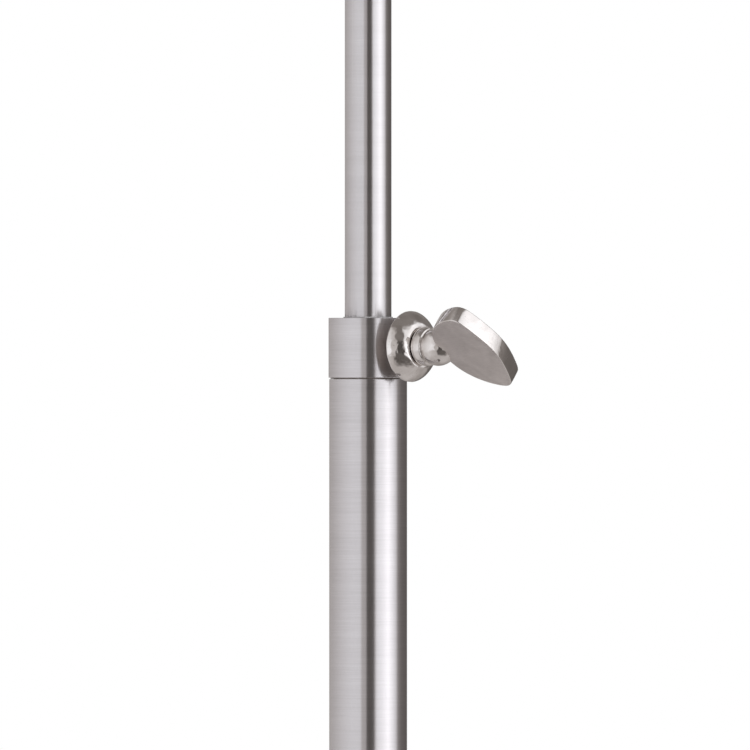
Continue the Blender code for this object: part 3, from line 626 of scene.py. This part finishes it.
def tube_profile(radius, wall, bottom, top, edge):
    """Wall section of a tube with slightly broken edges."""
    corners = [(radius - wall, top, edge / 2), (radius, top, edge), (radius, bottom, edge),
               (radius - wall, bottom, edge / 2)]
    return fillet(corners, True, 4)


def make_lower_tube():
    """Brushed lower pole between the trim ring and the collar."""
    radius, bottom, top = span("lower_tube")
    tube = lathe("lower_pole", tube_profile(radius, TUBE_WALL, bottom, top, 0.15 * MM))
    dress(tube, "stand", "brushed_steel", brushed_steel("brushed_lower"), nodes=["lower_tube"])


def make_collar(screw_height):
    """Clamp collar with broken edges, its spigot in the tube and the tapped side hole."""
    radius, spigot_bottom, top = span("collar")
    tube_top = span("lower_tube")[2]
    shoulder = tube_top + 0.55 * MM
    spigot = span("lower_tube")[0] - TUBE_WALL - 0.3 * MM
    neck = span("lower_tube")[0] - 0.5 * MM
    nose = 10.405 * MM
    bore = 10.975 * MM
    step = top - 3.0 * MM
    edge = 0.15 * MM
    relief_bottom = tube_top + 0.1 * MM
    corners = [(nose, top, edge), (radius, top, edge), (radius, shoulder, edge), (neck, shoulder, 0.0),
               (neck, relief_bottom, 0.0), (spigot, relief_bottom, 0.0), (spigot, spigot_bottom, 0.3 * MM),
               (bore, spigot_bottom, 0.3 * MM), (bore, step, 0.0), (nose, step, 0.0)]
    collar = lathe("clamp_collar", fillet(corners, True, 4), COLLAR_SEGMENTS)
    cut_hole(collar, STUD_HOLE, (bore - 1.0 * MM, 0.0, screw_height),
             (radius + 2.0 * MM, 0.0, screw_height))
    slack = 0.05 * MM
    # Faces of the neck inside the gap take a far darker copy of the casting: painted shade of the gap.
    for face in collar.data.polygons:
        at_relief = tube_top < face.center.z < shoulder - slack
        on_neck = math.hypot(face.center.x, face.center.y) < neck + slack
        face.material_index = 1 if at_relief and on_neck else 0
    # Second material: the casting at a low tone, as painted shade in the gap under the collar.
    dress(collar, "stand", "brushed_steel", brushed_steel("brushed_collar"),
          raw_casting_painted_shade("collar_gap_painted_shade", tone=0.45), nodes=["collar"])


def make_liner(screw_height, finish):
    """Nylon liner; only its rounded lip shows above the collar."""
    outer, bottom, top = span("collar_liner")
    bore = span("upper_tube")[0] + 0.15 * MM
    nose = bore + 0.43 * MM
    step = span("collar")[2] - 3.3 * MM
    corners = [(bore, top, 0.12 * MM), (nose, top, 0.2 * MM), (nose, step, 0.0), (outer, step, 0.2 * MM),
               (outer, bottom, 0.3 * MM), (bore, bottom, 0.3 * MM)]
    liner = lathe("nylon_liner", fillet(corners, True, 4))
    cut_hole(liner, PAD_HOLE, (bore - 1.0 * MM, 0.0, screw_height), (outer + 2.0 * MM, 0.0, screw_height))
    dress(liner, "stand", "grey_nylon", finish, nodes=["collar_liner"])


def make_mast():
    """Brushed upper pole, lightly rubbed by the clamp, with the guide pin's hole across its foot."""
    radius, bottom, top = span("upper_tube")
    low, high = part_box("guide_pin")
    pin_height = (low[2] + high[2]) / 2
    tube = lathe("mast_tube", tube_profile(radius, MAST_WALL, bottom, top, 0.3 * MM))
    reach = radius + 2.0 * MM
    cut_hole(tube, PIN_HOLE, (0.0, -reach, pin_height), (0.0, reach, pin_height))
    dress(tube, "upper_pole", "brushed_steel", brushed_steel("brushed_mast", scratches=0.5),
          nodes=["upper_tube"])


# ------------------------------------------------------------------- finial

def make_top_plug(finish):
    """Flanged plug in the mast's head, tapped for the finial."""
    flange, bottom, top = span("top_plug")
    mast_radius, _, mast_top = span("upper_tube")
    stem = mast_radius - MAST_WALL - 0.3 * MM
    seat = mast_top + 0.3 * MM
    bore = STUD_HOLE
    corners = [(bore, top, 0.3 * MM), (flange, top, 0.5 * MM), (flange, seat, 0.2 * MM),
               (stem, seat, 0.0), (stem, bottom, 0.6 * MM), (bore, bottom, 0.3 * MM)]
    plug = lathe("mast_head_plug", fillet(corners, True, 4), SMALL_SEGMENTS)
    dress(plug, "upper_pole", "fastener_steel", finish, nodes=["top_plug"])


def make_finial_washer(finish):
    """Nylon washer between the mast's head and the finial."""
    radius, bottom, top = span("finial_washer")
    bore = 4.3 * MM
    edge = 0.35 * MM
    corners = [(bore, top, edge), (radius, top, edge), (radius, bottom, edge), (bore, bottom, edge)]
    washer = lathe("finial_seat_washer", fillet(corners, True, 4), SMALL_SEGMENTS)
    dress(washer, "finial_lift", "grey_nylon", finish, nodes=["finial_washer"])


def make_finial_neck(finish):
    """Flared foot, hollow waist and a bead under the ball, all in one turning."""
    foot, bottom, top = span("finial_neck")
    bore = STUD_HOLE
    waist = 6.6 * MM
    seat = 7.4 * MM
    bead = 9.0 * MM
    bead_half = 2.6 * MM
    bead_height = top - 0.6 * MM - bead_half
    edge = 1.8 * MM
    waist_height = bead_height - bead_half - 0.6 * MM
    bead_steps = 16
    profile = [(bore, top), (seat, top), (seat, bead_height + bead_half)]
    for k in range(1, bead_steps):
        angle = math.pi * k / bead_steps
        profile.append((seat + (bead - seat) * math.sin(angle) ** 0.8,
                        bead_height + bead_half * math.cos(angle)))
    profile.append((seat, bead_height - bead_half))
    cove = cove_line(waist, foot, bottom + edge, waist_height, 18)
    profile += cove[:-1]
    profile += fillet([cove[-2] + (0.0,), (foot, bottom + edge, 0.4 * MM), (foot, bottom, 0.5 * MM),
                       (bore, bottom, 0.0)], False)[1:]
    neck = lathe("finial_neck_turning", profile)
    dress(neck, "finial", "polished_metal", finish, nodes=["finial_neck"])


def make_finial_ball(finish):
    """Spun ball with a fine seam groove round its middle and a flat seat."""
    radius, bottom, top = span("finial_ball")
    centre = top - radius
    bore = STUD_HOLE
    bore_top = bottom + 17.0 * MM
    seat_angle = -math.asin((centre - bottom) / radius)
    groove_half = 0.25 * MM / radius
    groove_depth = 0.12 * MM
    profile = []
    steps = 72
    for k in range(steps + 1):
        angle = math.pi / 2 + (seat_angle - math.pi / 2) * k / steps
        depth = groove_depth if abs(angle) < groove_half else 0.0
        profile.append(((radius - depth) * math.cos(angle), centre + (radius - depth) * math.sin(angle)))
    profile[0] = (0.0, top)
    profile += [(bore, bottom), (bore, bore_top), (0.0, bore_top)]
    ball = lathe("finial_ball_spinning", profile, closed=False)
    dress(ball, "finial", "polished_metal", finish, nodes=["finial_ball"])


# ---------------------------------------------------------------- threads

def thread_shape(radius, start, end):
    """Right-hand M8 thread along Z between two heights, with chamfered blind ends."""
    shape = bmesh.new()
    count = int((end - start) / THREAD_PITCH * STEPS_PER_PITCH)
    fade = 1.0 * MM
    crest = 0.1
    flank_width = 0.75
    rings = []
    for j in range(count + 1):
        height = start + (end - start) * j / count
        ring = []
        for k in range(THREAD_SEGMENTS):
            turn = k / THREAD_SEGMENTS
            phase = (height / THREAD_PITCH - turn) % 1.0
            flank = abs(2.0 * phase - 1.0)
            flank = min(1.0, max(0.0, (flank - crest) / flank_width))
            here = radius - THREAD_DEPTH * flank
            ends = min(height - start, end - height) / fade
            here -= THREAD_DEPTH * max(0.0, 1.0 - ends) * (1.0 - flank)
            angle = 2 * math.pi * turn
            ring.append(shape.verts.new((here * math.cos(angle), here * math.sin(angle), height)))
        rings.append(ring)
    for lower, upper in zip(rings, rings[1:]):
        for k in range(THREAD_SEGMENTS):
            n = (k + 1) % THREAD_SEGMENTS
            shape.faces.new([lower[k], lower[n], upper[n], upper[k]])
    for ring, height in ((rings[0], start), (rings[-1], end)):
        middle = shape.verts.new((0.0, 0.0, height))
        for k in range(THREAD_SEGMENTS):
            shape.faces.new([ring[k], ring[(k + 1) % THREAD_SEGMENTS], middle])
    return shape


def make_finial_stud(finish):
    """Threaded stud that holds the finial in the plug."""
    radius, bottom, top = span("finial_stud")
    stud = piece_from(thread_shape(radius - THREAD_PLAY, bottom, top), "finial_thread", THREAD_SMOOTH_ANGLE)
    dress(stud, "finial", "fastener_steel", finish, nodes=["finial_stud"])


def make_screw_stud(screw_height, finish):
    """Threaded stud of the thumb screw with its plain nose."""
    low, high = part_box("screw_stud")
    radius = (high[2] - low[2]) / 2
    nose_end = low[0] + 1.8 * MM
    stud = piece_from(thread_shape(radius - THREAD_PLAY, nose_end, high[0]), "clamp_thread",
                      THREAD_SMOOTH_ANGLE)
    along_x(stud, screw_height)
    nose_radius = 1.5 * MM
    overlap = 1.0 * MM
    corners = [(0.0, nose_end + overlap, 0.0), (nose_radius, nose_end + overlap, 0.0),
               (nose_radius, low[0], 0.3 * MM), (0.0, low[0], 0.0)]
    nose = lathe("clamp_thread_nose", fillet(corners, False), THREAD_SEGMENTS, closed=False)
    along_x(nose, screw_height)
    dress(stud, "thumb_screw", "fastener_steel", finish, nodes=["screw_stud"])
    dress(nose, "thumb_screw", "fastener_steel", finish, nodes=["screw_stud"])


# -------------------------------------------------------------- thumb screw

def dome_line(start):
    """Front of the flange from its rim inwards, as (radius, distance along the screw)."""
    # (distance along the line in millimetres, its slope there in degrees)
    slopes = ((0.0, 65.0), (1.6, 57.5), (3.3, 50.5), (5.2, 45.0), (7.0, 39.0), (8.2, 27.0), (8.9, 12.0))
    steps = 5
    line = [start]
    for (here, first), (there, second) in zip(slopes, slopes[1:]):
        for k in range(steps):
            slope = math.radians(first + (second - first) * (k + 0.5) / steps)
            length = (there - here) / steps * MM
            line.append((line[-1][0] - length * math.cos(slope), line[-1][1] + length * math.sin(slope)))
    return line


def handle_profile(back):
    """Flange with a domed front, short neck, bead, groove and ball, from the ball's crown down."""
    flange = 14.45 * MM
    flange_front = back + 0.6 * MM
    dome = dome_line((flange, flange_front))
    neck = 6.7 * MM
    neck_at = dome[-1][1]
    bead = 8.05 * MM
    bead_length = 4.7 * MM
    bead_start = neck_at + 0.4 * MM
    bead_end = bead_start + bead_length
    groove = 7.2 * MM
    ball = 7.9 * MM
    ball_centre = bead_end + 0.4 * MM + math.sqrt(ball ** 2 - groove ** 2)
    groove_angle = -math.acos(groove / ball)
    profile = []
    ball_steps = 40
    for k in range(ball_steps + 1):
        angle = math.pi / 2 + (groove_angle - math.pi / 2) * k / ball_steps
        profile.append((ball * math.cos(angle), ball_centre + ball * math.sin(angle)))
    profile[0] = (0.0, ball_centre + ball)
    profile.append((groove - 0.25 * MM, bead_end + 0.2 * MM))
    shoulder = neck + 0.4 * MM
    middle = (bead_start + bead_end) / 2
    bead_steps = 24
    for k in range(1, bead_steps):
        angle = math.pi * k / bead_steps
        swell = math.sin(angle) ** 0.7
        profile.append((shoulder + (bead - shoulder) * swell,
                        middle + bead_length / 2 * math.cos(angle)))
    profile.append((neck, bead_start - 0.1 * MM))
    profile.append((neck, neck_at - 0.05 * MM))
    profile += reversed(dome[1:])
    rim = [(flange, flange_front, 0.2 * MM), (flange, back, 0.25 * MM)]
    bore_end = back + HANDLE_BORE_DEPTH
    edge = fillet([dome[1] + (0.0,), *rim, (HANDLE_BORE, back, 0.0)], False)
    profile += edge[1:]
    profile += [(HANDLE_BORE, bore_end), (0.0, bore_end)]
    return profile, ball_centre


def make_handle(screw_height, finish, raw_back_painted_shade):
    """Cast flange, neck, bead and ball in one piece; its back and its bore stay unpolished, in a dark
    casting colour that also paints the shade on the flange's back.
    """
    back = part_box("screw_handle")[0][0]
    profile, ball_centre = handle_profile(back)
    handle = lathe("thumb_screw_turning", profile, HANDLE_SEGMENTS, closed=False)
    slack = 0.05 * MM
    # Back and bore take the dark casting: unpolished finish and painted shade of the flange's back.
    for face in handle.data.polygons:
        level = face.center.z
        behind = level < back + slack
        in_bore = math.hypot(face.center.x, face.center.y) < HANDLE_BORE + slack
        inside = in_bore and level < back + HANDLE_BORE_DEPTH + slack
        face.material_index = 1 if behind or inside else 0
    uneven(handle, CAST_WOBBLE, CAST_WAVELENGTH)
    along_x(handle, screw_height)
    dress(handle, "thumb_screw", "polished_metal", finish, raw_back_painted_shade, nodes=["screw_handle"])
    return ball_centre


def paddle_outline(inset):
    """Oval across the screw's axis, widest towards its outer side."""
    half_length = PADDLE_HALF_LENGTH - inset
    half_width = PADDLE_HALF_WIDTH - inset
    power = 2.0 / PADDLE_SQUARENESS
    points = []
    for k in range(PADDLE_POINTS):
        angle = 2 * math.pi * k / PADDLE_POINTS
        across = math.copysign(abs(math.cos(angle)) ** power, math.cos(angle))
        along = math.copysign(abs(math.sin(angle)) ** power, math.sin(angle))
        horn = PADDLE_HORN * abs(across) ** PADDLE_HORN_POWER
        points.append((half_width * across, half_length * along + horn))
    return points


def make_paddle(ball_centre, screw_height, rim_finish, face_finish):
    """Thick thumb grip: flat ground faces, softly crowned polished rim, small rounded edges."""
    half = PADDLE_HALF_THICKNESS
    edge = 0.4 * MM
    crown = 0.1 * MM
    face_scales = (0.0, 0.25, 0.5, 0.75, 0.92)
    edge_steps = 6
    rim_steps = 10
    face_section = [(crown + edge, scale, half) for scale in face_scales]
    for k in range(edge_steps + 1):
        angle = math.pi / 2 * (1.0 - k / edge_steps)
        face_section.append((crown + edge * (1.0 - math.cos(angle)), 1.0,
                             half - edge * (1.0 - math.sin(angle))))
    section = list(face_section)
    for k in range(1, rim_steps):
        share = 1.0 - 2.0 * k / rim_steps
        section.append((crown * share ** 2, 1.0, (half - edge) * share))
    for inset, scale, thickness in reversed(face_section):
        section.append((inset, scale, -thickness))

    shape = bmesh.new()
    rings = []
    for inset, scale, thickness in section:
        if scale == 0.0:
            rings.append([shape.verts.new((0.0, thickness, 0.0))])
            continue
        rings.append([shape.verts.new((scale * across, thickness, scale * along))
                      for across, along in paddle_outline(inset)])
    for number, (upper, lower) in enumerate(zip(rings, rings[1:])):
        for k in range(PADDLE_POINTS):
            n = (k + 1) % PADDLE_POINTS
            corners = [upper[k % len(upper)], upper[n % len(upper)], lower[n % len(lower)],
                       lower[k % len(lower)]]
            face = shape.faces.new(list(dict.fromkeys(corners)))
            flat = number < len(face_scales) or number >= len(rings) - 1 - len(face_scales)
            face.material_index = 1 if flat else 0
    paddle = piece_from(shape, "thumb_grip")
    centre = ball_centre + PADDLE_REACH
    paddle.data.transform(Matrix.Rotation(PADDLE_TURN, 4, "Z"))
    paddle.data.transform(Matrix.Translation((0.0, 0.0, centre)))
    along_x(paddle, screw_height)
    dress(paddle, "thumb_screw", "polished_metal", rim_finish, face_finish, nodes=["thumb_paddle"])


# ------------------------------------------------------------ hidden pieces

def redress_hidden(fastener, nylon):
    """Give the pieces inside the stand, which keep their CAD shape, materials of their own."""
    iron = cast_iron("iron_casting")
    acetal = turned_plastic("acetal_plug", (0.66, 0.66, 0.62), (0.80, 0.80, 0.77))
    brass_pad = brass("brass_pad")
    for node in ("base_bolt", "flat_washer", "lock_washer", "foot_plug", "guide_pin"):
        redress(node, fastener)
    redress("ballast", iron)
    redress("guide_bush", nylon)
    redress("bottom_plug", acetal)
    redress("clamp_pad", brass_pad)


# --------------------------------------------------------- camera and light

def make_camera(collar_top):
    """Distant camera with a long lens, level with the clamp."""
    data = bpy.data.cameras.new("camera")
    data.sensor_width = SENSOR_WIDTH
    data.lens = SENSOR_WIDTH * CAMERA_DISTANCE / FIELD_WIDTH
    data.clip_end = CLIP_END
    camera = add_object("camera", data)
    aim = TO_RIGHT * AIM_RIGHT + Vector((0.0, 0.0, collar_top - AIM_BELOW_COLLAR_TOP))
    camera.location = aim + TO_CAMERA * CAMERA_DISTANCE
    camera.rotation_euler = (-TO_CAMERA).to_track_quat("-Z", "Y").to_euler()
    bpy.context.scene.camera = camera


def area_light(name, azimuth, elevation, distance, size, power, aim):
    """Soft box; azimuth in degrees from the camera's direction, to its right."""
    data = bpy.data.lights.new(name, "AREA")
    data.shape = "SQUARE"
    data.size = size
    data.energy = power
    light = add_object(name, data)
    turn = math.radians(azimuth)
    rise = math.radians(elevation)
    level = TO_CAMERA * math.cos(turn) + TO_RIGHT * math.sin(turn)
    way = level * math.cos(rise) + Vector((0.0, 0.0, math.sin(rise)))
    light.location = Vector(aim) + way * distance
    light.rotation_euler = (-way).to_track_quat("-Z", "Y").to_euler()
    light.visible_glossy = False


# Studio seen by the metal: soft walls, a dark gap round the camera and a dark side on the right.
# Each row runs round the studio at one height, from the floor up; its stops are (degrees from
# the camera's direction to its right, brightness).
FLOOR_GLOW = [(-180, 0.38), (-110, 0.50), (-50, 0.54), (-30, 0.50), (110, 0.55), (150, 0.55), (180, 0.38)]
LOW_WALLS = [(-180, 0.30), (-150, 0.50), (-110, 0.63), (-70, 0.72), (-50, 0.65), (-30, 0.60),
             (-12, 0.50), (-4, 0.12), (50, 0.14), (62, 0.35), (75, 0.50), (90, 0.55), (110, 0.45),
             (130, 0.50), (150, 0.42), (180, 0.30)]
WALLS = [(-180, 0.30), (-165, 0.46), (-130, 0.60), (-92, 0.79), (-50, 0.98), (-22, 1.00),
         (-19, 0.58), (-6, 0.58), (-4, 0.08), (17, 0.08), (20, 0.55), (26, 1.25), (45, 1.55),
         (62, 1.90), (80, 1.30), (93, 0.80), (99, 0.28), (115, 0.17), (150, 0.13), (172, 0.16),
         (180, 0.30)]
HIGH_WALLS = [(-180, 0.40), (-150, 0.35), (-130, 0.32), (-110, 0.46), (-90, 0.72), (-50, 0.86),
              (-30, 0.78), (-12, 0.55), (-4, 0.22), (14, 0.22), (22, 0.95), (50, 1.25), (70, 1.30),
              (90, 1.05), (107, 1.00), (113, 0.26), (130, 0.18), (160, 0.24), (180, 0.40)]
CEILING = [(-180, 0.22), (-130, 0.20), (-90, 0.25), (30, 0.26), (180, 0.22)]

# Rows above the floor's glow, with the heights between which each takes over from the one below;
# a height is the sine of the elevation
UPPER_ROWS = ((-0.90, -0.68, LOW_WALLS), (-0.50, -0.26, WALLS), (0.14, 0.41, HIGH_WALLS),
              (0.70, 0.90, CEILING))

# A colour ramp holds levels up to 1, so they are divided by this there and multiplied again later
LEVEL_SCALE = 2.0

FLOOR_RADIUS = 4.5
FLOOR_FADE = (0.5, 1.7)


def tint(level):
    """Dark parts of the studio are warm, bright ones a trace cool."""
    shade = min(1.0, level)
    warm = 0.14 * (1.0 - shade)
    red = 1.0 + 0.5 * warm
    green = 1.0 - 0.3 * warm
    blue = 1.0 - 0.8 * warm + 0.02 * shade
    return level * red, level * green, level * blue


def studio_ramp(t, azimuth, stops):
    """One row of the studio as a colour that depends on the direction round it."""
    ramp = t.add("ShaderNodeValToRGB")
    elements = ramp.color_ramp.elements
    while len(elements) > 1:
        elements.remove(elements[-1])
    for number, (degrees, level) in enumerate(stops):
        place = (degrees + 180) / 360
        element = elements[0] if number == 0 else elements.new(place)
        element.position = place
        red, green, blue = tint(level)
        element.color = (red / LEVEL_SCALE, green / LEVEL_SCALE, blue / LEVEL_SCALE, 1.0)
    t.link(azimuth, ramp.inputs[0])
    return ramp.outputs[0]


def make_world():
    """White to the camera; to the metal, a studio of soft walls, dark gaps and a dim ceiling."""
    world = bpy.data.worlds.new("studio")
    bpy.context.scene.world = world
    world.use_nodes = True
    world.node_tree.nodes.clear()
    t = Tree(world.node_tree)
    way = t.add("ShaderNodeTexCoord").outputs["Generated"]

    def part_along(direction):
        """How far a ray's direction points along another."""
        node = t.add("ShaderNodeVectorMath", operation="DOT_PRODUCT")
        t.link(way, node.inputs[0])
        node.inputs[1].default_value = direction
        return node.outputs["Value"]

    turn = t.math("ARCTAN2", part_along(TO_RIGHT), part_along(TO_CAMERA))
    azimuth = t.math("ADD", t.math("DIVIDE", turn, 2 * math.pi), 0.5)
    up = part_along((0.0, 0.0, 1.0))
    colour = studio_ramp(t, azimuth, FLOOR_GLOW)
    for start, end, stops in UPPER_ROWS:
        share = t.spread(up, start, end, 0.0, 1.0, "SMOOTHSTEP")
        colour = t.blend(share, colour, studio_ramp(t, azimuth, stops))
    studio = t.add("ShaderNodeBackground")
    t.link(colour, studio.inputs["Color"])
    studio.inputs["Strength"].default_value = LEVEL_SCALE
    plain = t.add("ShaderNodeBackground")
    plain.inputs["Color"].default_value = (1.0, 1.0, 1.0, 1.0)
    choose = t.add("ShaderNodeMixShader")
    rays = t.add("ShaderNodeLightPath")
    t.link(rays.outputs["Is Camera Ray"], choose.inputs[0])
    t.link(studio.outputs[0], choose.inputs[1])
    t.link(plain.outputs[0], choose.inputs[2])
    output = t.add("ShaderNodeOutputWorld")
    t.link(choose.outputs[0], output.inputs["Surface"])


def make_floor():
    """Pale floor that lightens to the white of the background away from the stand."""
    shape = bmesh.new()
    bmesh.ops.create_circle(shape, cap_ends=True, segments=SMALL_SEGMENTS, radius=FLOOR_RADIUS)
    mesh = mesh_from(shape, "studio_floor")
    floor = add_object("studio_floor", mesh)
    floor.visible_glossy = False
    n = Nodes("pale_floor")
    n.set(Base_Color=(0.86, 0.86, 0.86, 1.0), Roughness=0.7)
    far = n.add("ShaderNodeVectorMath", operation="LENGTH")
    n.link(n.place, far.inputs[0])
    glow = n.add("ShaderNodeEmission")
    fade = n.add("ShaderNodeMixShader")
    n.link(n.spread(far.outputs["Value"], *FLOOR_FADE, 0.0, 1.0), fade.inputs[0])
    n.link(n.shader.outputs[0], fade.inputs[1])
    n.link(glow.outputs[0], fade.inputs[2])
    n.link(fade.outputs[0], n.tree.nodes["Material Output"].inputs["Surface"])
    mesh.materials.append(n.material)


def main():
    """Build every piece, the studio, the floor and the camera."""
    low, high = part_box("screw_stud")
    screw_height = (low[2] + high[2]) / 2
    collar_top = span("collar")[2]
    make_camera(collar_top)
    polish = polished_metal("polished_nickel")
    fastener = zinc_steel("zinc_steel")
    nylon = turned_plastic("grey_nylon", (0.26, 0.255, 0.26), (0.36, 0.355, 0.355))

    make_floor_pad()
    make_base_cover()
    make_escutcheon(polish)
    make_set_screw(fastener)
    make_lower_tube()
    make_collar(screw_height)
    make_liner(screw_height, nylon)
    make_mast()
    make_top_plug(fastener)
    make_finial_washer(nylon)
    make_finial_neck(polish)
    make_finial_ball(polish)
    make_finial_stud(fastener)
    make_screw_stud(screw_height, fastener)
    cast_polish = polished_metal("polished_casting", lumps=0.00012)
    # The flange's back gets the unpolished casting, darkened as painted shade.
    ball_centre = make_handle(screw_height, cast_polish, raw_casting_painted_shade("raw_back_painted_shade"))
    make_paddle(ball_centre, screw_height, cast_polish, satin_face("ground_flat"))
    redress_hidden(fastener, nylon)

    make_world()
    make_floor()
    area_light("key_box", azimuth=24.0, elevation=52.0, distance=3.2, size=1.5, power=60.0,
               aim=(0.0, 0.0, 1.0))
    area_light("top_box", azimuth=-20.0, elevation=80.0, distance=3.0, size=2.0, power=40.0,
               aim=(0.0, 0.0, 0.7))
    bpy.context.scene.view_settings.view_transform = "Standard"


main()
